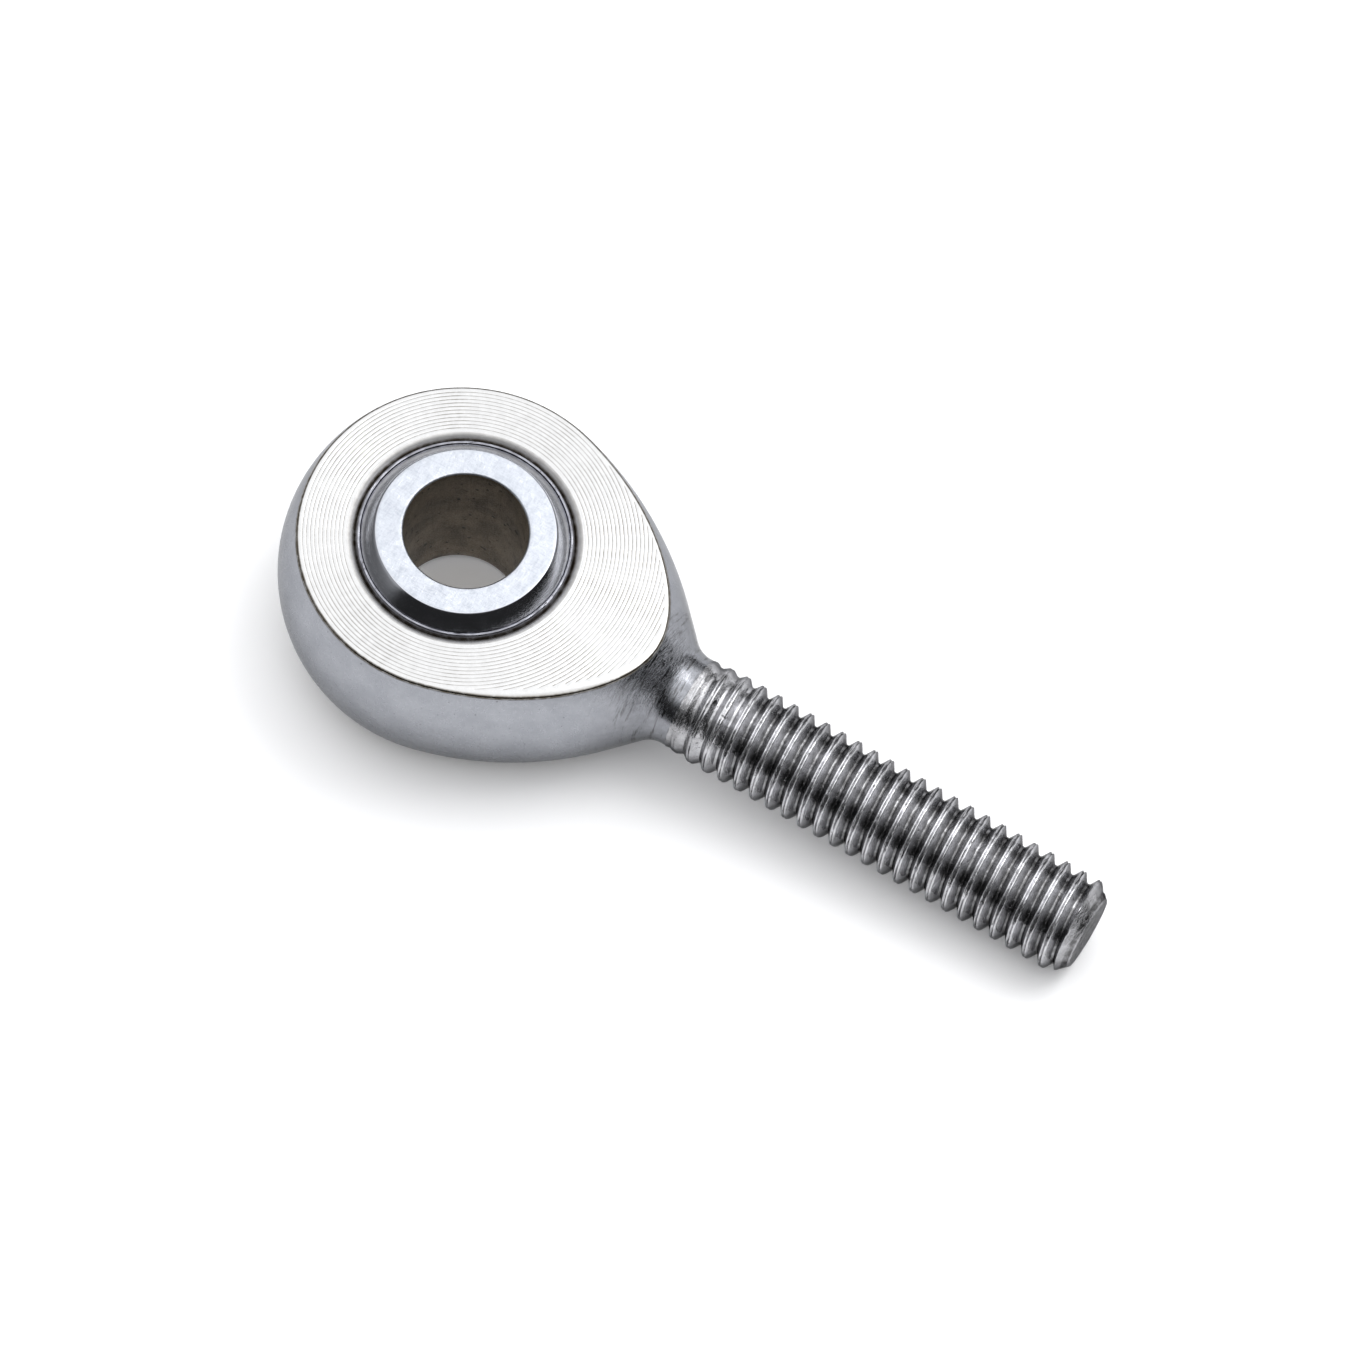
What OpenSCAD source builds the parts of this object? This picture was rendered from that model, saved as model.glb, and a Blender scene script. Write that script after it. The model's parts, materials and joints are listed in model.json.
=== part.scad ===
// Rod end bearing: a threaded-shank body, a race held in its eye, and a swivelling ball.
// Millimetres. Origin at the ball's centre, +Z along the ball's bore, +X out along the shank.

/* [Ball] */
// Diameter of the hole through the ball, 3/8 in
bore_d = 9.525;            // [6:0.025:16]
// Width over the ball's two flat faces, 9/16 in
ball_w = 14.2875;          // [9:0.0125:22]
// Diameter of the ball's sphere, 25/32 in
ball_d = 19.84;            // [14:0.01:32]
// Edge break at each end of the bore
bore_break = 0.15;         // [0.05:0.05:0.6]

/* [Race] */
// Radial gap between the ball and the race
ball_gap = 0.05;           // [0.01:0.01:0.1]
// Diameter of the race at its middle
race_d = 21.9;             // [18:0.1:30]
// Radial gap between the race and the eye
race_gap = 0.04;           // [0.01:0.01:0.1]
// Height of the race's straight outer wall
race_straight = 6.6;       // [3:0.1:10]
// Diameter of the race where its outer wall steepens
race_shoulder_d = 20.4;    // [16:0.1:26]
// Height of that change of slope above and below the centre
race_shoulder_z = 4.3;     // [2:0.1:8]

/* [Staked seam] */
// Diameter at the bottom of the V-shaped seam between race and eye
seam_d = 16.8;             // [14:0.01:24]
// Depth of the seam below the eye's faces
seam_depth = 0.35;         // [0.1:0.05:1.5]
// Diameter of the race's flat rim, inside the seam
race_rim_d = 16.4;         // [14:0.01:24]
// Diameter of the eye's lip, outside the seam
lip_d = 17.9;              // [15:0.1:26]

/* [Eye] */
// Diameter of the round head
head_d = 28.2;             // [22:0.1:44]
// Width of the head over its two flat faces, 15/32 in
head_w = 11.90625;         // [8:0.00625:20]
// Angle round the head at which its flank starts to run out to the shank
flank_start = 14;          // [5:1:30]
// Radius of the long curve of the flank
flank_r = 28.6;            // [20:0.1:60]
// Steepest angle of the flank
flank_end = 44.5;          // [30:0.5:60]
// Radius of the fillet from the flank to the neck
neck_fillet = 2.15;        // [1:0.05:8]
// Diameter of the plain neck
neck_d = 7.42;             // [5:0.02:12]

/* [Shank] */
// Distance from the ball's centre to the end of the shank, 2 3/16 in
shank_end = 55.5625;       // [40:0.0125:90]
// Length of the thread
thread_len = 35.1;         // [20:0.1:60]
// Major diameter of the thread, 5/16 in
thread_d = 7.9375;         // [5:0.0125:14]
// Threads per inch
thread_tpi = 18;           // [12:1:32]
// Flank angle of the thread form, crest to crest
thread_angle = 60;         // [55:5:60]
// Chamfer at the end of the shank
end_chamfer = 1.1;         // [0.2:0.05:1.5]

/* [Hidden] */
$fn = 72;
turned_fn = 40;            // sides of the turned body as drawn, a true circle once built
inch = 25.4;
crest_share = 1 / 8;       // crest flat as a share of the pitch
root_share = 1 / 4;        // root flat as a share of the pitch
quarter = 90;              // degrees from the head's far end to its widest ring
head_bands = 30;           // cone bands round the head
flank_bands = 9;           // cone bands along the flank's long curve
cut = 1;                   // how far cutters run past what they cut

ball_r = ball_d / 2;
bore_r = bore_d / 2;
race_ball_r = ball_r + ball_gap;
head_r = head_d / 2;
head_h = head_w / 2;
neck_r = neck_d / 2;
thread_r = thread_d / 2;
seam_z = head_h - seam_depth;

// Where the head's sphere meets the long flank curve
flank_x0 = head_r * sin(flank_start);
flank_y0 = head_r * cos(flank_start);
flank_cx = flank_x0 - flank_r * sin(flank_start);
flank_cy = flank_y0 - flank_r * cos(flank_start);
// Where the flank curve turns into the straight cone
cone_x0 = flank_cx + flank_r * sin(flank_end);
cone_y0 = flank_cy + flank_r * cos(flank_end);
// Where the cone meets the neck fillet, and where the fillet meets the neck
fillet_y = neck_r + neck_fillet * (1 - cos(flank_end));
fillet_x = cone_x0 + (cone_y0 - fillet_y) / tan(flank_end);
neck_x = fillet_x + neck_fillet * sin(flank_end);

// Thread form
pitch = inch / thread_tpi;
thread_depth = pitch * (1 - crest_share - root_share) / (2 * tan(thread_angle / 2));
root_r = thread_r - thread_depth;
thread_x0 = shank_end - thread_len;
turns = floor(thread_len / pitch);
first_root = shank_end - (turns + crest_share) * pitch;
crest_w = pitch * crest_share;
root_w = pitch * root_share;
flank_w = (pitch - crest_w - root_w) / 2;
flank_run = flank_w * 0.1; // how far a groove's cutter runs on past the crest
flank_rise = thread_depth * 0.1;

// Half outline of the race's outside, or of the eye's seat around it when grown by a gap.
// It ends at each rim on the sloping side of the seam, carried on past the face by run_out.
module seat_outline(grow, rim_r, run_out) {
  edge_r = seam_d / 2 + grow;
  out_r = rim_r + run_out * (rim_r - edge_r) / seam_depth;
  out_z = head_h + run_out;
  polygon([
    [0, -out_z],
    [out_r, -out_z],
    [edge_r, -seam_z],
    [race_shoulder_d / 2 + grow, -race_shoulder_z],
    [race_d / 2 + grow, -race_straight / 2],
    [race_d / 2 + grow, race_straight / 2],
    [race_shoulder_d / 2 + grow, race_shoulder_z],
    [edge_r, seam_z],
    [out_r, out_z],
    [0, out_z]
  ]);
}

// Half outline of the head and neck, radius along X and shank axis along Y.
// The round and the flank are close cone bands, which stay exact where the flat faces cut them.
module head_outline() {
  polygon([
    [0, -head_r],
    for (i = [1 : head_bands])
      let (a = -quarter + i * (quarter + flank_start) / head_bands)
        [head_r * cos(a), head_r * sin(a)],
    for (i = [1 : flank_bands])
      let (a = flank_start + i * (flank_end - flank_start) / flank_bands)
        [flank_cy + flank_r * cos(a), flank_cx + flank_r * sin(a)],
    [fillet_y, fillet_x],
    [0, fillet_x]
  ]);
  difference() {
    translate([0, fillet_x])
      square([fillet_y, neck_x - fillet_x]);
    translate([neck_r + neck_fillet, neck_x])
      circle(r = neck_fillet);
  }
}

// Outline of one thread groove, a flat root with sloping flanks.
module groove_outline() {
  polygon([
    [root_r, -root_w / 2],
    [thread_r + flank_rise, -root_w / 2 - flank_w - flank_run],
    [thread_r + flank_rise, root_w / 2 + flank_w + flank_run],
    [root_r, root_w / 2]
  ]);
}

// Half outline of the shank, with the thread drawn as rings at the thread's pitch.
module shank_outline() {
  difference() {
    polygon([
      [0, neck_x],
      [neck_r, neck_x],
      [neck_r, thread_x0],
      [thread_r, thread_x0 + thread_r - neck_r],
      [thread_r, shank_end - end_chamfer],
      [thread_r - end_chamfer, shank_end],
      [0, shank_end]
    ]);
    for (i = [0 : turns - 1])
      translate([0, first_root + i * pitch])
        groove_outline();
  }
}

// Head, neck and threaded shank in one piece, bored for the race.
module rod_end_body() {
  color([0.72, 0.74, 0.77])
    difference() {
      intersection() {
        rotate([0, 90, 0])
          rotate([0, 0, 90])
            rotate_extrude($fn = turned_fn)
              union() {
                head_outline();
                shank_outline();
              }
        cube([4 * shank_end, 4 * head_r, head_w], center = true);
      }
      rotate_extrude()
        seat_outline(race_gap, lip_d / 2, cut);
    }
}

// Ring that wraps the ball, staked into the eye.
module race() {
  color([0.55, 0.56, 0.58])
    difference() {
      rotate_extrude()
        seat_outline(0, race_rim_d / 2, 0);
      sphere(r = race_ball_r);
    }
}

// Ball with two flat faces and a hole through it.
module ball() {
  color([0.85, 0.87, 0.9])
    difference() {
      intersection() {
        sphere(r = ball_r);
        cube([ball_d + cut, ball_d + cut, ball_w], center = true);
      }
      cylinder(h = ball_w + cut, r = bore_r, center = true);
      for (side = [0, 1])
        mirror([0, 0, side])
          translate([0, 0, ball_w / 2 - bore_break])
            cylinder(h = 2 * bore_break, r1 = bore_r, r2 = bore_r + 2 * bore_break);
    }
}

rod_end_body();
race();
ball();
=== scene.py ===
"""Looks of a rod end bearing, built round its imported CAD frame.

The body, race and ball are turned here as fine meshes of the CAD sizes, with the facing grooves, the edge
breaks, the real right-hand helix and the nicked race rim that the solids leave plain.
"""

import json
import logging
import math
from collections.abc import Callable
from dataclasses import dataclass, field
from enum import Enum

import bpy
import numpy as np
from mathutils import Matrix, Vector

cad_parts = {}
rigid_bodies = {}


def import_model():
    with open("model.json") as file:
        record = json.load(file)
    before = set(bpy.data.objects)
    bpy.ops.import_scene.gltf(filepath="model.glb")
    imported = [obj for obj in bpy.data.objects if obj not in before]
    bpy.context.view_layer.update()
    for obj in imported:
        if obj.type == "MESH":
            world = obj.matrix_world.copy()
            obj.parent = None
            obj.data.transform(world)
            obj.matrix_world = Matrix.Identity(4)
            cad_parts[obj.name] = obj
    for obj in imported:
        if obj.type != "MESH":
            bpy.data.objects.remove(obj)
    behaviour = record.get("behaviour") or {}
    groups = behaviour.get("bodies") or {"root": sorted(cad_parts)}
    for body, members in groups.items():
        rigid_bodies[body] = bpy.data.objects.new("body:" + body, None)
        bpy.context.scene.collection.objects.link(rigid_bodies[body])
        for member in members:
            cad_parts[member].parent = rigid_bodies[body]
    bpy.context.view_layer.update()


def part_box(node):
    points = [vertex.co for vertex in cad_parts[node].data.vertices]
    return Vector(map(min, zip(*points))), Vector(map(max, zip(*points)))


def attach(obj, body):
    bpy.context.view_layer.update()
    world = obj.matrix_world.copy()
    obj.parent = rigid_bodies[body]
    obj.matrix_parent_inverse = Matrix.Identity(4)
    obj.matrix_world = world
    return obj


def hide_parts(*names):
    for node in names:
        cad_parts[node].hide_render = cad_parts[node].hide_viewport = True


MM = 0.001
SMOOTH_LIMIT = math.radians(38)
ROUND_BORE = (1.0, 1.0, 0.0)
ROUND_SHANK = (0.0, 1.0, 1.0)
NUMBER, VECTOR, COLOUR = "NodeSocketFloat", "NodeSocketVector", "NodeSocketColor"
log = logging.getLogger("rod_end")

Points = list[tuple[float, float]]
Colour = tuple[float, float, float]
Socket = bpy.types.NodeSocket
Look = tuple[Socket, Socket, Socket]


class Finish(Enum):
    """Names of the finishes on the bearing's surfaces."""

    TURNED_FACE = "turned_face"
    PLATED_FLANK = "plated_flank"
    ROLLED_THREAD = "rolled_thread"
    STAKED_RACE = "staked_race"
    CHROME_SPHERE = "chrome_sphere"
    GROUND_FACE = "ground_face"
    DARK_BORE = "dark_bore"


def smooth_step(x: np.ndarray, low: float, high: float) -> np.ndarray:
    """Eases values from 0 at low to 1 at high, held outside."""
    t = np.clip((x - low) / (high - low), 0.0, 1.0)
    return t * t * (3.0 - 2.0 * t)


def between(values: np.ndarray, at: np.ndarray) -> np.ndarray:
    """Reads a row of values smoothly at places between them, starting again at its end."""
    low = np.floor(at).astype(int)
    t = smooth_step(at - low, 0.0, 1.0)
    return values[low % len(values)] * (1.0 - t) + values[(low + 1) % len(values)] * t


def ring_noise(count: int, knots: int, rng: np.random.Generator) -> np.ndarray:
    """Smooth noise from -1 to 1 at samples round a closed ring, through so many random knots."""
    return between(rng.uniform(-1.0, 1.0, knots), np.arange(count) * knots / count)


def run_noise(at: np.ndarray, rng: np.random.Generator) -> np.ndarray:
    """Smooth noise from -1 to 1 at places along a line, none below 0, with a random knot at each unit."""
    return between(rng.uniform(-1.0, 1.0, int(at.max()) + 3), at)


def put(name: str, data: bpy.types.ID) -> bpy.types.Object:
    """Puts an object with its mesh, lamp or camera data into the scene."""
    made = bpy.data.objects.new(name, data)
    bpy.context.scene.collection.objects.link(made)
    return made


class MeshMaker:
    """Collects the vertices and faces of one closed piece, in millimetres."""

    def __init__(self) -> None:
        """Starts with nothing."""
        self.points: list[np.ndarray] = []
        self.count = 0
        self.faces: list[tuple[int, ...]] = []
        self.finishes: list[int] = []

    def add(self, points: np.ndarray) -> np.ndarray:
        """Adds vertices.

        Args:
            points: Array whose last axis is x, y, z.

        Returns:
            Their indices, in the array's own shape.
        """
        flat = np.asarray(points, float).reshape(-1, 3)
        first = self.count
        self.points.append(flat)
        self.count += len(flat)
        return np.arange(first, self.count).reshape(np.asarray(points).shape[:-1])

    def face(self, corners: list[int], finish: int) -> None:
        """Adds one face, leaving out repeated corners, if three are left."""
        kept = [int(c) for i, c in enumerate(corners) if c != corners[i - 1]]
        if len(set(kept)) == len(kept) and len(kept) > 2:
            self.faces.append(tuple(kept))
            self.finishes.append(finish)

    def strip(self, a: np.ndarray, b: np.ndarray, finish: int, closed: bool = True) -> None:
        """Joins two rows of vertices with quads.

        Args:
            a: First row.
            b: Second row, of the same length.
            finish: Number of the finish.
            closed: Whether the rows close on themselves.
        """
        last = len(a) if closed else len(a) - 1
        for i in range(last):
            n = (i + 1) % len(a)
            self.face([a[i], a[n], b[n], b[i]], finish)

    def fan(self, ring: np.ndarray, tip: int, finish: int, outward: bool) -> None:
        """Closes a ring to one vertex.

        Args:
            ring: Vertices round the ring.
            tip: The vertex in its middle.
            finish: Number of the finish.
            outward: Whether the ring's own order faces out.
        """
        for i in range(len(ring)):
            n = (i + 1) % len(ring)
            self.face([ring[i], ring[n], tip] if outward else [ring[n], ring[i], tip], finish)

    def build(
        self, name: str, finishes: list[Finish], materials: dict[Finish, bpy.types.Material]
    ) -> bpy.types.Object:
        """Makes the Blender object.

        Args:
            name: Name of the object.
            finishes: The finishes in the order their numbers were given.
            materials: Every finish's material.

        Returns:
            The new object, smooth with sharp edges kept.
        """
        mesh = bpy.data.meshes.new(name)
        points = np.concatenate(self.points) * MM
        mesh.from_pydata(points.tolist(), [], self.faces)
        for finish in finishes:
            mesh.materials.append(materials[finish])
        mesh.polygons.foreach_set("material_index", self.finishes)
        mesh.polygons.foreach_set("use_smooth", [True] * len(self.faces))
        mesh.update()
        mesh.validate()
        mesh.set_sharp_from_angle(angle=SMOOTH_LIMIT)
        return put(name, mesh)


@dataclass
class Eye:
    """Sizes of the head, in millimetres: a body turned about the shank, cut flat and bored."""

    width: float = 11.90625
    radius: float = 14.1
    flank_start: float = math.radians(14.0)
    flank_radius: float = 28.6
    flank_end: float = math.radians(44.5)
    neck_fillet: float = 2.15
    neck_radius: float = 3.71
    lip_radius: float = 8.95
    seam_radius: float = 8.44
    seam_depth: float = 0.35
    shoulder_radius: float = 10.24
    shoulder_z: float = 4.3
    seat_radius: float = 10.99
    seat_straight: float = 3.3
    edge_break: float = 0.2
    halvings: int = 60

    def half(self) -> float:
        """Half the width over the two flat faces."""
        return self.width / 2

    def flank_centre(self) -> tuple[float, float]:
        """Centre of the flank's long curve, as distance along the shank and radius."""
        run = self.radius - self.flank_radius
        return run * math.sin(self.flank_start), run * math.cos(self.flank_start)

    def joins(self) -> tuple[float, float, float, float]:
        """Places along the shank where flank curve, cone, fillet and neck each begin."""
        cx, cy = self.flank_centre()
        start = self.radius * math.sin(self.flank_start)
        cone = cx + self.flank_radius * math.sin(self.flank_end)
        cone_r = cy + self.flank_radius * math.cos(self.flank_end)
        fillet_r = self.neck_radius + self.neck_fillet * (1 - math.cos(self.flank_end))
        fillet = cone + (cone_r - fillet_r) / math.tan(self.flank_end)
        return start, cone, fillet, fillet + self.neck_fillet * math.sin(self.flank_end)

    def turned_radius(self, x: np.ndarray) -> np.ndarray:
        """Radius of the turned outside at each place along the shank.

        Args:
            x: Places along the shank.

        Returns:
            The radii.
        """
        x = np.asarray(x, float)
        cx, cy = self.flank_centre()
        start, cone, fillet, neck = self.joins()
        cone_r = cy + self.flank_radius * math.cos(self.flank_end)
        ball = np.sqrt(np.maximum(self.radius**2 - x**2, 0.0))
        curve = cy + np.sqrt(np.maximum(self.flank_radius**2 - (x - cx) ** 2, 0.0))
        slope = cone_r - (x - cone) * math.tan(self.flank_end)
        hollow = self.neck_fillet**2 - (neck - x) ** 2
        fillet_r = self.neck_radius + self.neck_fillet - np.sqrt(np.maximum(hollow, 0.0))
        return np.select(
            [x <= start, x <= cone, x <= fillet, x <= neck], [ball, curve, slope, fillet_r], self.neck_radius
        )

    def outline(self, angles: np.ndarray, z: float) -> np.ndarray:
        """Distance from the bore's axis to the outside, at one height.

        Args:
            angles: Directions round the bore's axis, 0 along the shank.
            z: The height.

        Returns:
            The distances.
        """
        low, high = np.full(len(angles), 9.0), np.full(len(angles), 21.0)
        for _ in range(self.halvings):
            mid = (low + high) / 2
            inside = self.turned_radius(mid * np.cos(angles)) ** 2 > (mid * np.sin(angles)) ** 2 + z * z
            low, high = np.where(inside, mid, low), np.where(inside, high, mid)
        return (low + high) / 2


@dataclass
class Thread:
    """Sizes of the rolled thread, in millimetres."""

    end: float = 55.5625
    start: float = 20.4625
    radius: float = 3.96875
    pitch: float = 25.4 / 18
    depth: float = 0.69
    end_chamfer: float = 1.1
    fade_crest: float = 3.0
    fade_root: float = 6.0
    first_share: float = 0.36
    nick: float = 0.036
    ridge_at: float = 0.085
    ridge_width: float = 0.05
    seam_width: float = 0.035
    knots_per_turn: float = 30.0
    shape: Points = field(
        default_factory=lambda: [
            *((0.0, 0.10), (0.028, 0.07), (0.055, 0.01), (0.085, 0.0), (0.115, 0.03), (0.145, 0.10)),
            *((0.17, 0.19), (0.20, 0.28), (0.26, 0.47), (0.32, 0.66), (0.37, 0.82), (0.415, 0.95)),
            *((0.455, 0.995), (0.5, 1.0)),
        ]
    )

    def steps(self) -> np.ndarray:
        """Places across one pitch, from one root to the next."""
        at = np.array([t for t, _ in self.shape])
        return np.concatenate([-at[:0:-1], at])

    def fall(self, across: np.ndarray) -> np.ndarray:
        """Share of the thread's depth at places across the pitch, 0 at the crest and a half at the root."""
        at = np.array([t for t, _ in self.shape])
        return np.interp(np.abs(across), at, np.array([d for _, d in self.shape]))


@dataclass
class Body:
    """Head, neck and threaded shank, one mesh of two grooved faces, a turned side and a helix."""

    eye: Eye = field(default_factory=Eye)
    thread: Thread = field(default_factory=Thread)
    around: int = 720
    arc: int = 72
    groove_pitch: float = 0.305
    groove_depth: float = 0.022
    groove_power: float = 2.2
    groove_steps: int = 6
    lip_soft: float = 0.06
    lip_power: float = 1.8
    lip_steps: int = 8
    edge_shape: tuple[tuple[float, float], ...] = ((0.95, 0.08), (0.45, 0.32), (0.12, 0.7))
    land_at: float = -24.0
    land_width: float = 2.0
    land_reach: float = 30.0
    seed: int = 7

    def lip_profile(self) -> Points:
        """Radius and height of the eye's inside, from the top face down to the middle."""
        e = self.eye
        h, fall = e.half(), e.lip_radius + self.lip_soft - e.seam_radius
        rolled = [
            (e.lip_radius + self.lip_soft - fall * s, h - e.seam_depth * s**self.lip_power)
            for s in np.linspace(0.0, 1.0, self.lip_steps)
        ]
        return [*rolled, (e.shoulder_radius, e.shoulder_z), (e.seat_radius, e.seat_straight)]

    def face_line(self, reach: float, wobble: float) -> Points:
        """Radius and drop of one radial line over a flat face.

        Args:
            reach: Distance to the outside at the line's end.
            wobble: Shift of the grooves' depth on this line, from -1 to 1.

        Returns:
            Points from the lip to the edge, each a radius and a drop below the face.
        """
        start = self.eye.lip_radius + self.lip_soft
        step = self.groove_pitch / self.groove_steps
        line = []
        for i in range(1, int((reach - 1.6 * self.eye.edge_break - start) / step)):
            phase = (i % self.groove_steps) / self.groove_steps
            valley = abs(2.0 * phase - 1.0) ** self.groove_power
            line.append((start + i * step, self.groove_depth * valley * (1.0 + 0.2 * wobble)))
        return line

    def face(self, maker: MeshMaker, side: int, lip: np.ndarray, rim: np.ndarray, reach: np.ndarray) -> None:
        """Builds one grooved flat face between the lip and the outside edge.

        Args:
            maker: The mesh so far.
            side: 1 for the top, -1 for the bottom.
            lip: Ring of vertices at the lip.
            rim: Ring of vertices at the outside edge.
            reach: Distance to the outside at each angle.
        """
        h = self.eye.half()
        edge = self.eye.edge_break
        number = self.number(Finish.TURNED_FACE)
        angles = np.arange(self.around) * math.tau / self.around
        wobble = ring_noise(self.around, 40, np.random.default_rng(self.seed + side))
        off = np.degrees(angles) - self.land_at
        wide = 1.0 + self.land_width * np.exp(-((((off + 180.0) % 360.0 - 180.0) / self.land_reach) ** 2))
        lines, ends = [], []
        for k in range(self.around):
            line = self.face_line(reach[k] - 1.5 * edge * (wide[k] - 1.0), wobble[k])
            tail = [(reach[k] - edge * back, edge * drop) for back, drop in self.edge_shape]
            tail.insert(0, (reach[k] - edge * 1.5 * wide[k], 0.0))
            c, s = math.cos(angles[k]), math.sin(angles[k])
            ids = maker.add(np.array([[r * c, r * s, side * (h - d)] for r, d in line + tail]))
            lines.append([lip[k], *ids[: len(line)]])
            ends.append([*ids[len(line) :], rim[k]])
        for k in range(self.around):
            n = (k + 1) % self.around
            a, b = (lines[k], lines[n]) if side > 0 else (lines[n], lines[k])
            ea, eb = (ends[k], ends[n]) if side > 0 else (ends[n], ends[k])
            common = min(len(a), len(b))
            for j in range(common - 1):
                maker.face([a[j], a[j + 1], b[j + 1], b[j]], number)
            for j in range(common - 1, len(b) - 1):
                maker.face([a[common - 1], b[j + 1], b[j]], number)
            for j in range(common - 1, len(a) - 1):
                maker.face([a[j], a[j + 1], b[common - 1]], number)
            maker.face([a[-1], ea[0], eb[0], b[-1]], number)
            for j in range(len(ea) - 1):
                maker.face([ea[j], ea[j + 1], eb[j + 1], eb[j]], number)

    def number(self, finish: Finish) -> int:
        """Number of a finish on this piece."""
        return self.finishes().index(finish)

    def finishes(self) -> list[Finish]:
        """Finishes on this piece, in order."""
        return [Finish.TURNED_FACE, Finish.PLATED_FLANK, Finish.ROLLED_THREAD]

    def ring(self, maker: MeshMaker, x: float, radius: float) -> np.ndarray:
        """Adds one full ring about the shank's axis, from the top down the +Y side and back up."""
        a = math.pi / 2 - np.arange(2 * self.arc) * math.pi / self.arc
        return maker.add(np.stack([np.full(len(a), x), radius * np.cos(a), radius * np.sin(a)], -1))

    def build(self, materials: dict[Finish, bpy.types.Material]) -> bpy.types.Object:
        """Makes the whole body.

        Args:
            materials: Every finish's material.

        Returns:
            The finished object.
        """
        maker = MeshMaker()
        angles = np.arange(self.around) * math.tau / self.around
        circle = np.stack([np.cos(angles), np.sin(angles)], -1)
        profile = self.lip_profile()
        rings = [maker.add(np.column_stack([circle * r, np.full(self.around, z)])) for r, z in profile]
        under = [maker.add(np.column_stack([circle * r, np.full(self.around, -z)])) for r, z in profile]
        number = self.number(Finish.TURNED_FACE)
        for a, b in zip([*rings, *under[::-1][:-1]], [*rings[1:], *under[::-1]], strict=True):
            maker.strip(a, b, number)
        half_z = self.eye.half() - self.eye.edge_break
        reach = self.eye.outline(angles, half_z)
        top, bottom = self.side(maker, angles, reach, half_z)
        self.face(maker, 1, rings[0], top, reach)
        self.face(maker, -1, under[0], bottom, reach)
        made = maker.build("eye_neck_and_shank", self.finishes(), materials)
        log.info("body: %d faces", len(maker.faces))
        return made

    def side(
        self, maker: MeshMaker, angles: np.ndarray, reach: np.ndarray, half_z: float
    ) -> tuple[np.ndarray, np.ndarray]:
        """Builds the turned outside, from the head's far end to the end of the shank.

        Args:
            maker: The mesh so far.
            angles: Directions round the bore's axis.
            reach: Distance to the outside at each direction.
            half_z: Height at which the side meets the edge break.

        Returns:
            Rings of vertices at the top and the bottom edge.
        """
        number = self.number(Finish.PLATED_FLANK)
        m, count = self.arc, len(angles)
        x, y = reach * np.cos(angles), reach * np.sin(angles)
        radius = np.hypot(y, half_z)
        tip, far = 0, count // 2
        columns = []
        for k in range(count):
            if k in (tip, far):
                ids = self.ring(maker, x[k], half_z)
                columns.append((ids[: m + 1], np.concatenate([ids[:1], ids[: m - 1 : -1]])))
                continue
            rise = math.asin(min(1.0, half_z / radius[k]))
            a = np.linspace(rise, -rise, m + 1)
            sign = 1.0 if y[k] > 0 else -1.0
            line = np.stack([np.full(m + 1, x[k]), sign * radius[k] * np.cos(a), radius[k] * np.sin(a)], -1)
            ids = maker.add(line)
            columns.append((ids, ids))
        for k in range(count):
            n = (k + 1) % count
            pick = 0 if k < far else 1
            maker.strip(columns[k][pick], columns[n][pick], number, closed=False)
        top = np.array([c[0][0] for c in columns])
        bottom = np.array([c[0][-1] for c in columns])
        far_ring = np.concatenate([columns[far][0], columns[far][1][m - 1:0:-1]])
        tip_ring = np.concatenate([columns[tip][0], columns[tip][1][m - 1:0:-1]])
        self.cap(maker, far_ring, x[far], number)
        self.neck(maker, tip_ring, x[tip], number)
        return top, bottom

    def cap(self, maker: MeshMaker, ring: np.ndarray, x: float, number: int) -> None:
        """Closes the head's far end.

        Args:
            maker: The mesh so far.
            ring: Ring where the flat faces end.
            x: Where that ring is.
            number: Number of the finish.
        """
        start = math.acos(min(1.0, -x / self.eye.radius))
        last = ring
        for a in np.linspace(start, 0.0, 14)[1:-1]:
            new = self.ring(maker, -self.eye.radius * math.cos(a), self.eye.radius * math.sin(a))
            maker.strip(last, new, number)
            last = new
        pole = maker.add(np.array([[-self.eye.radius, 0.0, 0.0]]))[0]
        maker.fan(last, pole, number, True)

    def neck(self, maker: MeshMaker, ring: np.ndarray, x: float, number: int) -> None:
        """Runs the flank out through the neck and builds the thread on from it.

        Args:
            maker: The mesh so far.
            ring: Ring where the flat faces end.
            x: Where that ring is.
            number: Number of the finish.
        """
        last = ring
        for at in np.linspace(x, self.thread.start, 46)[1:]:
            new = self.ring(maker, at, float(self.eye.turned_radius(np.array(at))))
            maker.strip(new, last, number)
            last = new
        self.helix(maker, last)

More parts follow.
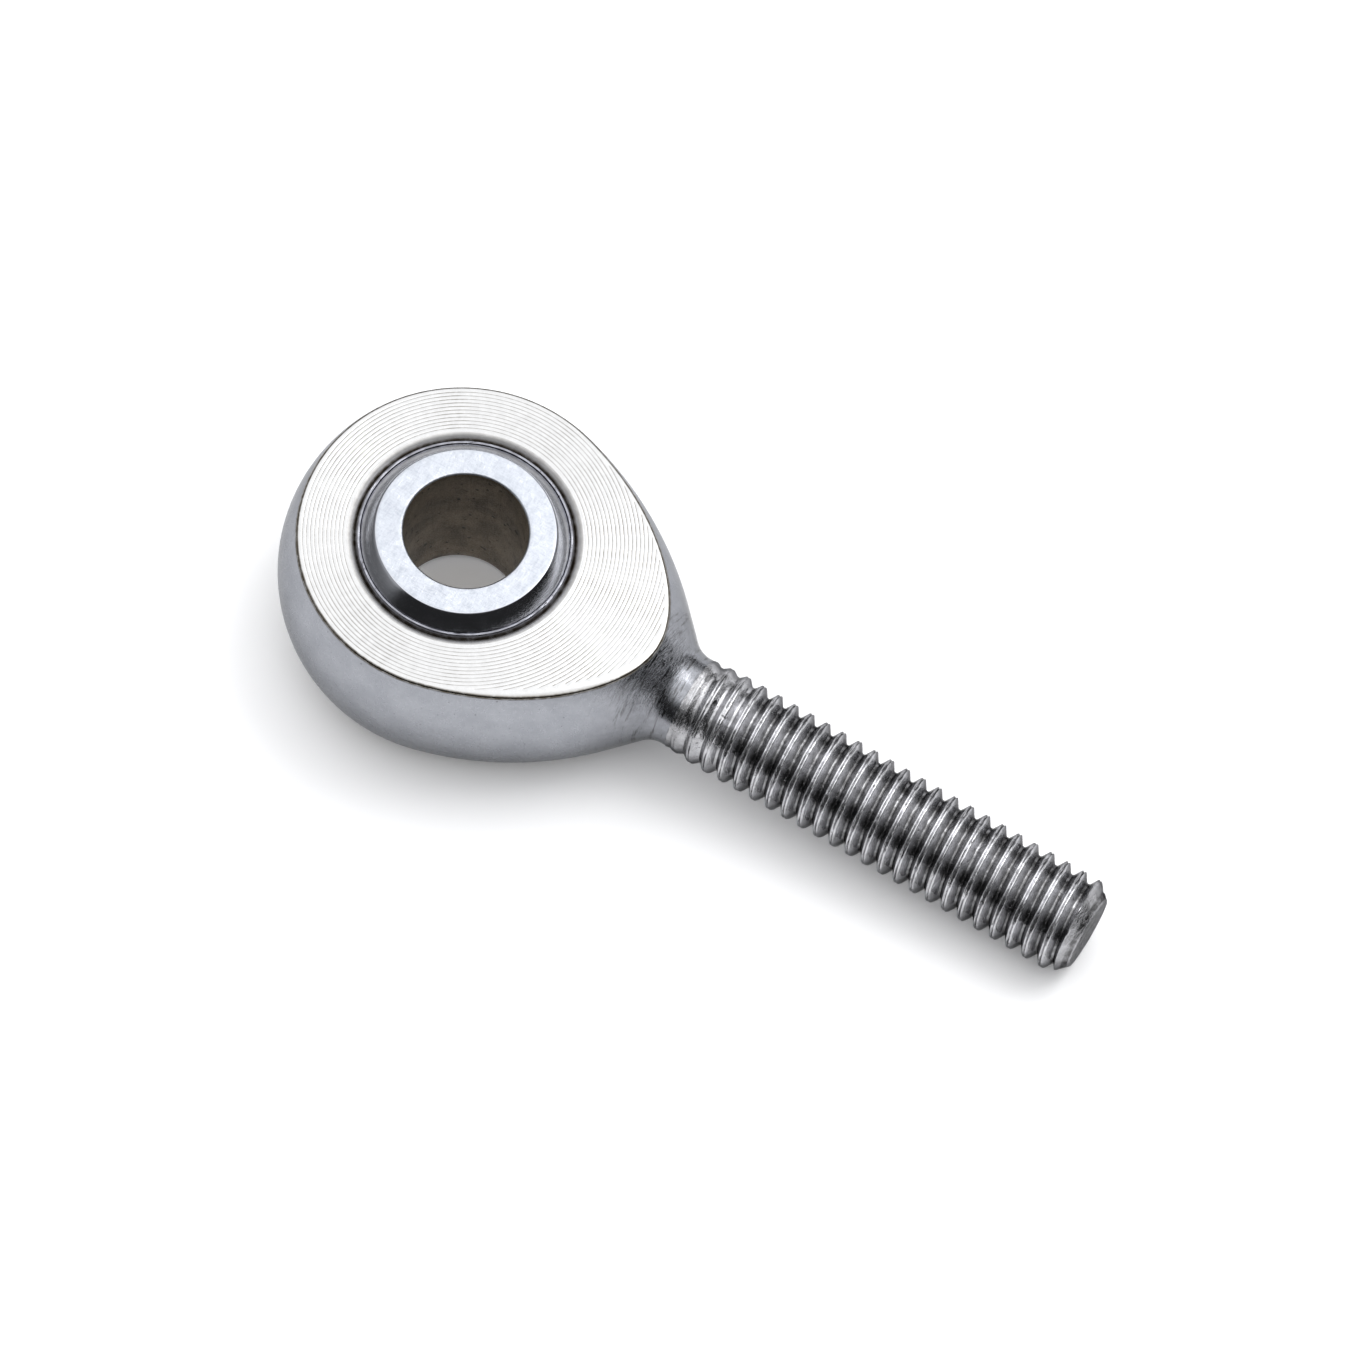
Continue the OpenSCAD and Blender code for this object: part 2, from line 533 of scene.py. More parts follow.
    def helix(self, maker: MeshMaker, first: np.ndarray) -> None:
        """Builds the right-hand thread and the end of the shank.

        Args:
            maker: The mesh so far.
            first: Ring where the neck ends.
        """
        t, number, n = self.thread, self.number(Finish.ROLLED_THREAD), 2 * self.arc
        rng = np.random.default_rng(self.seed)
        at = t.steps()
        per = len(at) - 1
        turns = int((t.end - t.start) / t.pitch) + 3
        base = np.concatenate([(k + at[:-1]) * t.pitch for k in range(-1, turns)]) + t.start
        angle = (math.pi / 2 - np.arange(n) * math.tau / n) % math.tau
        lead = angle / math.tau
        x = np.clip(base[:, None] + lead[None, :] * t.pitch, t.start, t.end)
        phase = (x - t.start) / t.pitch - lead[None, :]
        across = phase - np.round(phase)
        crest = self.eye.neck_radius + (t.radius - self.eye.neck_radius) * smooth_step(
            x, t.start - 1.0, t.start + t.fade_crest
        )
        growth = t.first_share + (1.0 - t.first_share) * smooth_step(x, t.start + 0.5, t.start + t.fade_root)
        cut = t.depth * growth * smooth_step(x, t.start, t.start + 0.7)
        along = (np.round(phase) + lead[None, :] + 3.0) * t.knots_per_turn
        left, right, mid, fine = (run_noise(along * k, rng) for k in (1.0, 1.0, 0.8, 2.3))
        ridge = np.where(across < 0, left, right)
        away = np.abs(across)
        ridges = np.exp(-(((away - t.ridge_at) / t.ridge_width) ** 2))
        ridges = ridges * np.clip(ridge * 0.7 + fine * 0.5, -1.0, 1.0)
        seam = np.exp(-((across / t.seam_width) ** 2)) * (0.6 + 0.6 * mid)
        flanks = 0.3 * fine * smooth_step(away, 0.12, 0.25) * (1.0 - smooth_step(away, 0.3, 0.42))
        nicks = np.clip(ridges - seam + flanks, -1.6, 0.0) * 1.5 * t.nick
        ready = smooth_step(x, t.start + 0.2, t.start + 2.0)
        radius = crest - cut * t.fall(across) + nicks * ready
        radius = np.minimum(radius, (t.radius - t.end_chamfer) + (t.end - x))
        radius = np.where(x <= t.start, self.eye.neck_radius, radius)
        ids = np.empty(x.shape, int)
        middle = (x > t.start) & (x < t.end)
        spots = np.stack([x, radius * np.cos(angle)[None, :], radius * np.sin(angle)[None, :]], -1)
        ids[middle] = maker.add(spots[middle])
        ids[x <= t.start] = np.broadcast_to(first, x.shape)[x <= t.start]
        rim = maker.add(spots[-1])
        ids[x >= t.end] = np.broadcast_to(rim, x.shape)[x >= t.end]
        rows = len(base)
        for j in range(n):
            m = (j + 1) % n
            shift = per if lead[m] > lead[j] else 0
            for i in range(rows - 1 - shift):
                a, b = i + shift, i
                maker.face([ids[a + 1, j], ids[b + 1, m], ids[b, m], ids[a, j]], number)
            if shift:
                for i in range(shift):
                    maker.face([ids[i + 1, j], ids[0, m], ids[i, j]], number)
                for i in range(rows - 1 - shift, rows - 1):
                    maker.face([ids[i + 1, m], ids[i, m], ids[rows - 1, j]], number)
        self.shank_end(maker, rim, spots[-1])

    def shank_end(self, maker: MeshMaker, rim: np.ndarray, spots: np.ndarray) -> None:
        """Closes the end of the shank with a slightly rough sawn face.

        Args:
            maker: The mesh so far.
            rim: Ring at the shank's end.
            spots: Where that ring's vertices are.
        """
        number = self.number(Finish.ROLLED_THREAD)
        rng = np.random.default_rng(self.seed + 5)
        last = rim
        for k, share in enumerate((0.94, 0.86, 0.76, 0.65, 0.53, 0.4, 0.27, 0.14)):
            inner = spots * np.array([1.0, share, share])
            inner[:, 0] = self.thread.end - 0.004 - 0.035 * (1 + ring_noise(len(spots), 40 - 4 * k, rng))
            new = maker.add(inner)
            maker.strip(new, last, number)
            last = new
        centre = maker.add(np.array([[self.thread.end - 0.04, 0.0, 0.0]]))[0]
        maker.fan(last, centre, number, False)


@dataclass
class Turning:
    """A ring turned about the bore's axis from a closed outline."""

    name: str
    around: int = 288

    def spin(
        self, maker: MeshMaker, profile: Points, finishes: list[int], nicks: dict[int, np.ndarray]
    ) -> None:
        """Turns a closed outline into a ring.

        Args:
            maker: The mesh to add to.
            profile: Radius and height of each point, counter-clockwise seen with the radius to the right.
            finishes: Number of the finish of the stretch after each point.
            nicks: Drop of each vertex round the ring, by the number of the point.
        """
        a = np.arange(self.around) * math.tau / self.around
        rings = []
        for i, (r, z) in enumerate(profile):
            height = z - np.sign(z) * nicks.get(i, np.zeros(self.around))
            rings.append(maker.add(np.stack([r * np.cos(a), r * np.sin(a), height], -1)))
        for i, ring in enumerate(rings):
            maker.strip(ring, rings[(i + 1) % len(rings)], finishes[i])


@dataclass
class Race(Turning):
    """The ring that wraps the ball, with staked and slightly nicked rims. Millimetres."""

    name: str = "staked_race_ring"
    inner_radius: float = 9.97
    rim_z: float = 5.953
    rim_radius: float = 8.2
    seam_radius: float = 8.4
    seam_z: float = 5.603
    shoulder_radius: float = 10.2
    shoulder_z: float = 4.3
    outer_radius: float = 10.95
    straight: float = 3.3
    nick_depth: float = 0.07
    seed: int = 21

    def half_outline(self) -> Points:
        """Radius and height from the middle of the outer wall up over the rim and down inside."""
        mouth_z = self.rim_z - 0.035
        mouth = math.sqrt(self.inner_radius**2 - mouth_z**2)
        turn = math.asin(mouth_z / self.inner_radius)
        sweep = np.linspace(turn, 0.0, 22)
        inside = [(self.inner_radius * math.cos(a), self.inner_radius * math.sin(a)) for a in sweep]
        flat = (mouth + self.rim_radius) / 2
        return [
            (self.outer_radius, 0.0),
            (self.outer_radius, self.straight),
            (self.shoulder_radius, self.shoulder_z),
            (self.seam_radius, self.seam_z),
            ((self.seam_radius + self.rim_radius) / 2, (self.seam_z + self.rim_z) / 2),
            (self.rim_radius + 0.015, self.rim_z - 0.045),
            (self.rim_radius - 0.02, self.rim_z - 0.008),
            (flat, self.rim_z - 0.004),
            (mouth + 0.02, self.rim_z - 0.01),
            *inside,
        ]

    def build(self, materials: dict[Finish, bpy.types.Material]) -> bpy.types.Object:
        """Makes the race.

        Args:
            materials: Every finish's material.

        Returns:
            The finished object.
        """
        up = self.half_outline()
        down = [(r, -z) for r, z in up[-2:0:-1]]
        profile = up + down
        rng = np.random.default_rng(self.seed)
        nicks = {}
        for i in (5, 6, 7, 8):
            for place in (i, len(profile) - i):
                marks = np.clip(ring_noise(self.around, 70, rng) - 0.35, 0, 1) * self.nick_depth
                nicks[place] = marks + 0.006 * (1 + ring_noise(self.around, 140, rng))
        maker = MeshMaker()
        self.spin(maker, profile, [0] * len(profile), nicks)
        log.info("race: %d faces", len(maker.faces))
        return maker.build(self.name, [Finish.STAKED_RACE], materials)


@dataclass
class Ball(Turning):
    """The swivelling ball with its two ground faces and its bore. Millimetres."""

    name: str = "swivel_ball"
    radius: float = 9.92
    half_width: float = 7.14375
    bore: float = 4.7625
    bore_break: float = 0.15
    edge_break: float = 0.05

    def build(self, materials: dict[Finish, bpy.types.Material]) -> bpy.types.Object:
        """Makes the ball.

        Args:
            materials: Every finish's material.

        Returns:
            The finished object.
        """
        edge_z = self.half_width - self.edge_break
        reach = math.asin(edge_z / self.radius)
        face = math.sqrt(self.radius**2 - self.half_width**2)
        sphere, ground, bore = range(3)
        sweep = np.linspace(0, reach, 40)
        half = [(self.radius * math.cos(a), self.radius * math.sin(a), sphere) for a in sweep]
        half.append((face - 0.03, self.half_width - 0.008, ground))
        inner = self.bore + self.bore_break
        half += [(r, self.half_width, ground) for r in np.linspace(face - 0.08, inner + 0.02, 10)]
        half.append((inner - 0.03, self.half_width - 0.012, ground))
        half.append((self.bore + 0.02, self.half_width - self.bore_break * 0.8, bore))
        half += [(self.bore, z, bore) for z in np.linspace(self.half_width - self.bore_break, 0.0, 16)]
        down = [(r, -z, f) for r, z, f in half[-2:0:-1]]
        points = half + down
        profile = [(r, z) for r, z, _ in points]
        finishes = [f for _, _, f in half[:-1]] + [bore] + [f for _, _, f in half[-3::-1]] + [sphere]
        maker = MeshMaker()
        self.spin(maker, profile, finishes[: len(profile)], {})
        log.info("ball: %d faces", len(maker.faces))
        order = [Finish.CHROME_SPHERE, Finish.GROUND_FACE, Finish.DARK_BORE]
        return maker.build(self.name, order, materials)


class Wiring:
    """Adds and joins the nodes of one node tree."""

    def __init__(self, tree: bpy.types.NodeTree) -> None:
        """Keeps the material's, world's or group's node tree."""
        self.tree = tree

    def add(self, kind: str, inputs: dict | None = None, **settings: object) -> bpy.types.Node:
        """Adds a node.

        Args:
            kind: Blender's name of the node type.
            inputs: Values or sockets for its inputs, by name or number.
            **settings: Properties to set on the node first.

        Returns:
            The new node.
        """
        node = self.tree.nodes.new(kind)
        for name, value in settings.items():
            setattr(node, name, value)
        for name, value in (inputs or {}).items():
            if isinstance(value, Socket):
                self.tree.links.new(value, node.inputs[name])
            else:
                node.inputs[name].default_value = value
        return node

    def math(self, operation: str, *values: object, clamp: bool = False) -> Socket:
        """Adds one sum of numbers and returns its output."""
        node = self.add("ShaderNodeMath", dict(enumerate(values)), operation=operation, use_clamp=clamp)
        return node.outputs[0]

    def times(self, first: object, second: object) -> Socket:
        """Multiplies two numbers."""
        return self.math("MULTIPLY", first, second)

    def fit(self, value: object, factor: object, offset: object) -> Socket:
        """Multiplies a number and adds another to it."""
        return self.math("MULTIPLY_ADD", value, factor, offset)

    def less(self, first: object, second: object) -> Socket:
        """Takes the second number from the first."""
        return self.math("SUBTRACT", first, second)

    def most(self, first: Socket, *others: Socket) -> Socket:
        """Keeps the largest of the numbers."""
        for other in others:
            first = self.math("MAXIMUM", first, other)
        return first

    def vector(self, operation: str, *values: object) -> Socket:
        """Adds one sum of vectors and returns its vector output."""
        return self.add("ShaderNodeVectorMath", dict(enumerate(values)), operation=operation).outputs[0]

    def ramp(
        self, value: Socket, low: float, high: float, start: float = 0.0, end: float = 1.0
    ) -> Socket:
        """Maps low to high smoothly on to start to end, held outside, and returns the output."""
        inputs = {"Value": value, "From Min": low, "From Max": high, "To Min": start, "To Max": end}
        return self.add("ShaderNodeMapRange", inputs, interpolation_type="SMOOTHSTEP").outputs[0]

    def mix(self, share: Socket, first: object, second: object) -> Socket:
        """Mixes two colours and returns the output."""
        node = self.add("ShaderNodeMix", {0: share}, data_type="RGBA")
        ends = [s for s in node.inputs if s.type == "RGBA"]
        for socket, value in zip(ends, (first, second), strict=True):
            if isinstance(value, Socket):
                self.tree.links.new(value, socket)
            else:
                socket.default_value = (*value, 1.0)
        return next(s for s in node.outputs if s.type == "RGBA")

    def dot(self, first: Socket, second: Vector) -> Socket:
        """Multiplies two vectors into a number and returns the output."""
        inputs = {0: first, 1: tuple(second)}
        return self.add("ShaderNodeVectorMath", inputs, operation="DOT_PRODUCT").outputs["Value"]

    def length(self, vector: Socket) -> Socket:
        """Adds the length of a vector and returns the output."""
        return self.add("ShaderNodeVectorMath", {0: vector}, operation="LENGTH").outputs["Value"]

    def noise(self, at: Socket, scale: float, detail: float, roughness: float = 0.55) -> Socket:
        """Adds cloud noise and returns its value."""
        inputs = {"Vector": at, "Scale": scale, "Detail": detail, "Roughness": roughness}
        return self.add("ShaderNodeTexNoise", inputs).outputs[0]


class Effects:
    """Node groups that more than one finish uses."""

    def __init__(self) -> None:
        """Builds every group once."""
        scaled = {"Place": VECTOR, "Scale": NUMBER}
        stretched = {"Place": VECTOR, "Stretch": VECTOR}
        self.mottle = self.group("mottle", scaled, NUMBER, self.lay_mottle)
        self.scratches = self.group("fine_scratches", stretched, NUMBER, self.lay_scratches)
        self.lines = self.group("lathe_lines", {"Along": NUMBER, "Pitch": NUMBER}, NUMBER, self.lay_lines)
        self.pits = self.group("pits", {**scaled, "Size": NUMBER}, NUMBER, self.lay_pits)
        # The dark cover stands for soiling in some finishes and for painted shade in others.
        dirt_and_shade = {"Place": VECTOR, "Clean": COLOUR, "Dirt": COLOUR, "Cover": NUMBER}
        self.grime_and_shade = self.group("grime_and_shade", dirt_and_shade, COLOUR, self.lay_grime_and_shade)

    @staticmethod
    def group(
        name: str, inputs: dict[str, str], kind: str, lay: Callable[[Wiring, dict[str, Socket]], Socket]
    ) -> bpy.types.NodeTree:
        """Builds one group.

        Args:
            name: Name of the group.
            inputs: Type of each input, by its name.
            kind: Type of the output.
            lay: Lays the group's nodes from its inputs and returns their result.

        Returns:
            The group.
        """
        group = bpy.data.node_groups.new(name, "ShaderNodeTree")
        for label, type_name in inputs.items():
            group.interface.new_socket(label, in_out="INPUT", socket_type=type_name)
        group.interface.new_socket("Result", in_out="OUTPUT", socket_type=kind)
        w = Wiring(group)
        given = w.add("NodeGroupInput").outputs
        w.add("NodeGroupOutput", {0: lay(w, {label: given[label] for label in inputs})})
        return group

    @staticmethod
    def lay_mottle(w: Wiring, given: dict[str, Socket]) -> Socket:
        """Lays soft clouds from 0 to 1."""
        return w.ramp(w.noise(given["Place"], given["Scale"], 4.0, 0.62), 0.32, 0.68)

    @staticmethod
    def lay_scratches(w: Wiring, given: dict[str, Socket]) -> Socket:
        """Lays fine scratches that run along the direction that is stretched least."""
        noise = w.noise(w.vector("MULTIPLY", given["Place"], given["Stretch"]), 1.0, 5.0, 0.7)
        return w.ramp(w.math("ABSOLUTE", w.less(noise, 0.5)), 0.0, 0.09)

    @staticmethod
    def lay_lines(w: Wiring, given: dict[str, Socket]) -> Socket:
        """Lays the lines that a tool leaves along a turned surface."""
        turn = w.math("DIVIDE", given["Along"], given["Pitch"])
        return w.noise(w.add("ShaderNodeCombineXYZ", {"X": turn}).outputs[0], 1.0, 3.0, 0.7)

    @staticmethod
    def lay_pits(w: Wiring, given: dict[str, Socket]) -> Socket:
        """Lays a mask of small scattered pits."""
        cells = w.add("ShaderNodeTexVoronoi", {"Vector": given["Place"], "Scale": given["Scale"]})
        some = w.noise(given["Place"], given["Scale"], 2.0)
        reach = w.times(given["Size"], w.ramp(some, 0.45, 0.7))
        near = w.math("DIVIDE", cells.outputs["Distance"], w.math("ADD", reach, 0.001))
        return w.ramp(near, 0.6, 1.0, 1.0, 0.0)

    @staticmethod
    def lay_grime_and_shade(w: Wiring, given: dict[str, Socket]) -> Socket:
        """Lays a dark colour unevenly over a clean colour: real soiling in some finishes, painted shade in
        others.
        """
        patches = w.ramp(w.noise(given["Place"], 1.7, 4.0, 0.65), 0.3, 0.62, 0.55, 1.0)
        share = w.math("MULTIPLY", given["Cover"], patches, clamp=True)
        return w.mix(share, given["Clean"], given["Dirt"])


class Surface(Wiring):
    """The wiring of one material, which lays the shared groups over a piece."""

    def __init__(self, tree: bpy.types.NodeTree, effects: Effects) -> None:
        """Starts from the place on the piece in millimetres.

        Args:
            tree: The material's node tree.
            effects: The shared groups.
        """
        super().__init__(tree)
        self.effects = effects
        metres = self.add("ShaderNodeTexCoord").outputs["Object"]
        self.at = self.vector("MULTIPLY", metres, (1 / MM, 1 / MM, 1 / MM))

    def along(self, axis: str) -> Socket:
        """One coordinate of the place."""
        return self.add("ShaderNodeSeparateXYZ", {0: self.at}).outputs[axis]

    def radius(self, across: Colour) -> Socket:
        """Distance of the place from an axis, given which coordinates lie across it."""
        return self.length(self.vector("MULTIPLY", self.at, across))

    def lay(self, group: bpy.types.NodeTree, **inputs: object) -> Socket:
        """Adds a shared group and returns its output."""
        return self.add("ShaderNodeGroup", inputs, node_tree=group).outputs[0]

    def mottle(self, scale: float) -> Socket:
        """Lays soft clouds."""
        return self.lay(self.effects.mottle, Place=self.at, Scale=scale)

    def scratches(self, *stretch: float) -> Socket:
        """Lays fine scratches, stretched along x, y and z."""
        return self.lay(self.effects.scratches, Place=self.at, Stretch=stretch)

    def lines(self, along: Socket, pitch: float) -> Socket:
        """Lays turning lines."""
        return self.lay(self.effects.lines, Along=along, Pitch=pitch)

    def pits(self, scale: float, size: float) -> Socket:
        """Lays scattered pits."""
        return self.lay(self.effects.pits, Place=self.at, Scale=scale, Size=size)

    def grime_and_shade(self, clean: Socket, dirt_and_shade: Colour, cover: Socket) -> Socket:
        """Lays a dark colour, of soiling and painted shade, over a clean colour where the cover says."""
        return self.lay(self.effects.grime_and_shade, Place=self.at, Clean=clean, Dirt=(*dirt_and_shade, 1.0), Cover=cover)


@dataclass(frozen=True)
class Metal:
    """A metal finish: a colour that its pattern varies, a roughness and a fine relief in millimetres."""

    finish: Finish
    colour: Colour
    shade: Colour
    roughness: float
    rough_spread: float
    relief: float
    metallic: float = 1.0
    edge: float = 1.0

    def pattern(self, s: Surface) -> Look:
        """Lays out the finish's own pattern: its colour, its roughness and the height of its relief."""
        raise NotImplementedError

    def build(self, effects: Effects) -> bpy.types.Material:
        """Makes the material.

        Args:
            effects: The shared node groups.

        Returns:
            The new material.
        """
        material = bpy.data.materials.new(self.finish.value)
        material.use_nodes = True
        material.node_tree.nodes.clear()
        s = Surface(material.node_tree, effects)
        colour, roughness, height = self.pattern(s)
        bump = s.add("ShaderNodeBump", {"Strength": 1.0, "Distance": self.relief * MM, "Height": height})
        inputs = {
            "Base Color": colour,
            "Roughness": roughness,
            "Metallic": self.metallic,
            "Specular Tint": (self.edge, self.edge, self.edge, 1.0),
            "Normal": bump.outputs[0],
        }
        shader = s.add("ShaderNodeBsdfPrincipled", inputs)
        s.add("ShaderNodeOutputMaterial", {"Surface": shader.outputs[0]})
        return material


@dataclass(frozen=True)
class TurnedFace(Metal):
    """Faced flat on a lathe: bright, with fine scratches round the eye."""

    lip: float = 8.95
    half: float = 5.953
    outline_from: float = 10.4
    # Painted shade: how dark the groove floors and the outline near the edge are drawn.
    groove_shade: float = 0.82
    outline_dark: float = 0.94
    # Dark colour laid on for painted shade in the grooves and the mouth, and for oxide with painted shade at
    # the outline.
    dirt_and_shade: Colour = (0.07, 0.055, 0.034)

    def pattern(self, s: Surface) -> Look:
        """Lays out fine lines round the eye, painted shade in the groove floors and in the mouth, and an
        outer edge darkened by oxide and painted shade.
        """
        high = s.math("ABSOLUTE", s.along("Z"))
        radius = s.radius(ROUND_BORE)
        clouds = s.mottle(1.6)
        clean = s.mix(s.times(clouds, 0.8), self.colour, self.shade)
        # Painted shade in the floors of the facing grooves.
        valley = s.ramp(high, self.half - 0.022, self.half - 0.008, self.groove_shade, 0.0)
        # Darker outline by the edge break: partly oxide, partly painted shade.
        edge = s.ramp(high, self.half - 0.07, self.half - 0.014, self.outline_dark, 0.0)
        outer = s.times(edge, s.ramp(radius, self.outline_from, self.outline_from + 0.4))
        inner = s.ramp(radius, self.lip - 0.02, self.lip + 0.08, 1.0, 0.0)
        grooves = s.times(valley, s.less(1.0, inner))
        # Painted shade on the lip, deepest down by the seam with the race.
        mouth = s.ramp(high, self.half - 0.34, self.half - 0.16, 1.0, 0.0)
        rolled = s.times(inner, s.fit(mouth, 0.7, 0.3))
        colour = s.grime_and_shade(clean, self.dirt_and_shade, s.most(grooves, outer, rolled))
        rough = s.fit(inner, 0.26, s.fit(clouds, self.rough_spread, self.roughness))
        return colour, rough, s.less(s.lines(radius, 0.055), s.pits(1.3, 0.16))


@dataclass(frozen=True)
class PlatedFlank(Metal):
    """Turned and thinly plated: satin on the head, with scratches round the neck."""

    neck_from: float = 14.0
    edge_from: float = 5.62
    streak_dark: float = 0.85
    # Painted shade over the neck.
    neck_shade: float = 0.34
    neck_sheen: float = 0.45
    # Dark colour of the scratches and pits, and of the painted shade at the edge and the neck.
    dirt_and_shade: Colour = (0.05, 0.047, 0.045)

    def pattern(self, s: Surface) -> Look:
        """Lays out the turning lines along the shank, the neck's dark scratches and painted shade, and the
        edge darkened by oxide and painted shade.
        """
        along, high = s.along("X"), s.math("ABSOLUTE", s.along("Z"))
        neck = s.ramp(along, self.neck_from, self.neck_from + 4.0)
        scratches = s.times(s.scratches(4.2, 0.42, 0.42), neck)
        streaks = s.noise(s.vector("MULTIPLY", s.at, (3.4, 0.3, 0.3)), 1.0, 4.0, 0.7)
        dark_streaks = s.times(s.ramp(streaks, 0.5, 0.66, 0.0, self.streak_dark), neck)
        marks = s.times(s.pits(1.9, 0.2), 0.5)
        clean = s.mix(s.times(s.mottle(0.35), 0.7), self.colour, self.shade)
        # Darker band by the edge break: partly oxide, partly painted shade.
        edge = s.ramp(high, self.edge_from, self.edge_from + 0.12, 0.0, 0.85)
        # The neck's share of this cover is painted shade.
        cover = s.most(dark_streaks, edge, marks, s.times(neck, self.neck_shade))
        satin = s.fit(s.mottle(3.0), self.rough_spread, self.roughness)
        rough = s.times(satin, s.ramp(neck, 0.0, 1.0, 1.0, self.neck_sheen))
        height = s.math("ADD", s.times(s.lines(along, 0.16), 0.35), s.times(scratches, 0.8))
        return s.grime_and_shade(clean, self.dirt_and_shade, cover), rough, s.less(height, marks)


@dataclass(frozen=True)
class RolledThread(Metal):
    """Rolled: bright rounded crests with a lap, pits, and roots darkened by oil and painted shade."""

    root: float = 3.28
    crest: float = 3.9
    neck_end: float = 20.4
    oil_from: float = 22.0
    tip_from: float = 54.2
    end_from: float = 55.42
    neck_cover: float = 0.42
    tip_cover: float = 0.4
    # Dark colour of oil, pits and sawing, and of the painted shade in the roots.
    dirt_and_shade: Colour = (0.022, 0.02, 0.018)

    def pattern(self, s: Surface) -> Look:
        """Lays out roots darkened by their depth with oil and painted shade, pits and small scratches."""
        radius, along = s.radius(ROUND_SHANK), s.along("X")
        threaded = s.ramp(along, self.oil_from, self.oil_from + 4.5)
        body = s.ramp(along, self.end_from, self.end_from + 0.08, 1.0, 0.0)
        # Painted shade with oil: darker towards the roots and down the flanks.
        root = s.times(s.ramp(radius, self.root, self.root + 0.2, 0.8, 0.0), threaded)
        flank = s.times(s.ramp(radius, self.root, self.crest, 0.5, 0.0), threaded)
        marks = s.most(s.pits(2.1, 0.4), s.times(s.pits(4.2, 0.4), 0.8))
        clouds = s.mottle(1.1)
        clean = s.mix(s.times(clouds, 0.8), self.colour, self.shade)
        sawn = s.times(s.less(1.0, body), s.fit(s.mottle(5.0), 0.3, 0.15))
        # Carries the neck's plated tone and its painted shade on to the first turns.
        plated = s.ramp(along, self.neck_end, self.neck_end + 4.6, self.neck_cover, 0.0)
        tip = s.ramp(along, self.tip_from, self.tip_from + 0.6, 0.0, self.tip_cover)
        cover = s.most(s.times(s.most(root, flank), body), sawn, plated, tip, s.times(marks, 0.6))
        rough = s.fit(sawn, 0.5, s.fit(clouds, self.rough_spread, self.roughness))
        height = s.less(s.times(s.scratches(2.6, 0.8, 0.8), 0.45), marks)
        return s.grime_and_shade(clean, self.dirt_and_shade, cover), rough, height


@dataclass(frozen=True)
class StakedRace(Metal):
    """Pressed steel: a bright burnished rim, darkened below it and in the seam by oil and painted shade."""

    rim_from: float = 5.72
    # Dark colour of the pits, and of the oil and painted shade below the rim.
    dirt_and_shade: Colour = (0.03, 0.024, 0.018)

    def pattern(self, s: Surface) -> Look:
        """Lays out the bright rim, the seam wall darkened by painted shade and the inside darkened by oil
        and painted shade.
        """
        # Painted shade in the seam and, with oil, in the inside below the rim.
        inside = s.ramp(s.math("ABSOLUTE", s.along("Z")), self.rim_from, self.rim_from + 0.14, 1.0, 0.0)
        clouds, pits = s.mottle(1.2), s.pits(3.4, 0.36)
        clean = s.mix(clouds, self.colour, self.shade)
        colour = s.grime_and_shade(clean, self.dirt_and_shade, s.most(s.times(inside, 0.95), s.times(pits, 0.7)))
        rough = s.fit(clouds, self.rough_spread, self.roughness)
        return colour, rough, s.less(s.times(s.lines(s.radius(ROUND_BORE), 0.05), 0.5), pits)


@dataclass(frozen=True)
class ChromeSphere(Metal):
    """Hard chrome, polished, with the faintest oil film."""

    def pattern(self, s: Surface) -> Look:
        """Lays out a faint film and hairline polishing marks."""
        film = s.mottle(0.6)
        colour = s.mix(film, self.colour, self.shade)
        return colour, s.fit(film, self.rough_spread, self.roughness), s.scratches(1.2, 1.2, 7.0)


@dataclass(frozen=True)
class GroundFace(Metal):
    """Ground flat and chromed: bluish white, clouded and lightly pitted."""

    def pattern(self, s: Surface) -> Look:
        """Lays out clouds, fine rings, crossing scratches and small pits."""
        rings = s.lines(s.radius(ROUND_BORE), 0.09)
        fine = s.fit(s.scratches(3.4, 0.8, 1.0), 0.5, s.times(s.scratches(0.8, 3.4, 1.0), 0.5))
        share = s.fit(s.mottle(0.9), 0.4, s.times(fine, 0.6))
        height = s.math("ADD", s.times(rings, 0.3), s.times(fine, 0.7))
        colour = s.mix(share, self.colour, self.shade)
        rough = s.fit(share, self.rough_spread, self.roughness)
        return colour, rough, s.less(height, s.pits(2.2, 0.16))


@dataclass(frozen=True)
class DarkBore(Metal):
    """Left as drilled: brown-grey, grainy and pitted."""

    dirt_and_shade: Colour = (0.02, 0.016, 0.012)

    def pattern(self, s: Surface) -> Look:
        """Lays out grain, pits, drawn streaks and patches of brown."""
        grain, pits = s.mottle(7.0), s.pits(1.5, 0.42)
        share = s.fit(s.mottle(0.4), 0.65, s.times(grain, 0.35))
        colour = s.grime_and_shade(s.mix(share, self.colour, self.shade), self.dirt_and_shade, pits)
        rough = s.fit(grain, self.rough_spread, self.roughness)
        height = s.fit(s.scratches(2.6, 2.6, 0.12), 0.5, s.times(grain, 0.3))
        return colour, rough, s.less(height, pits)


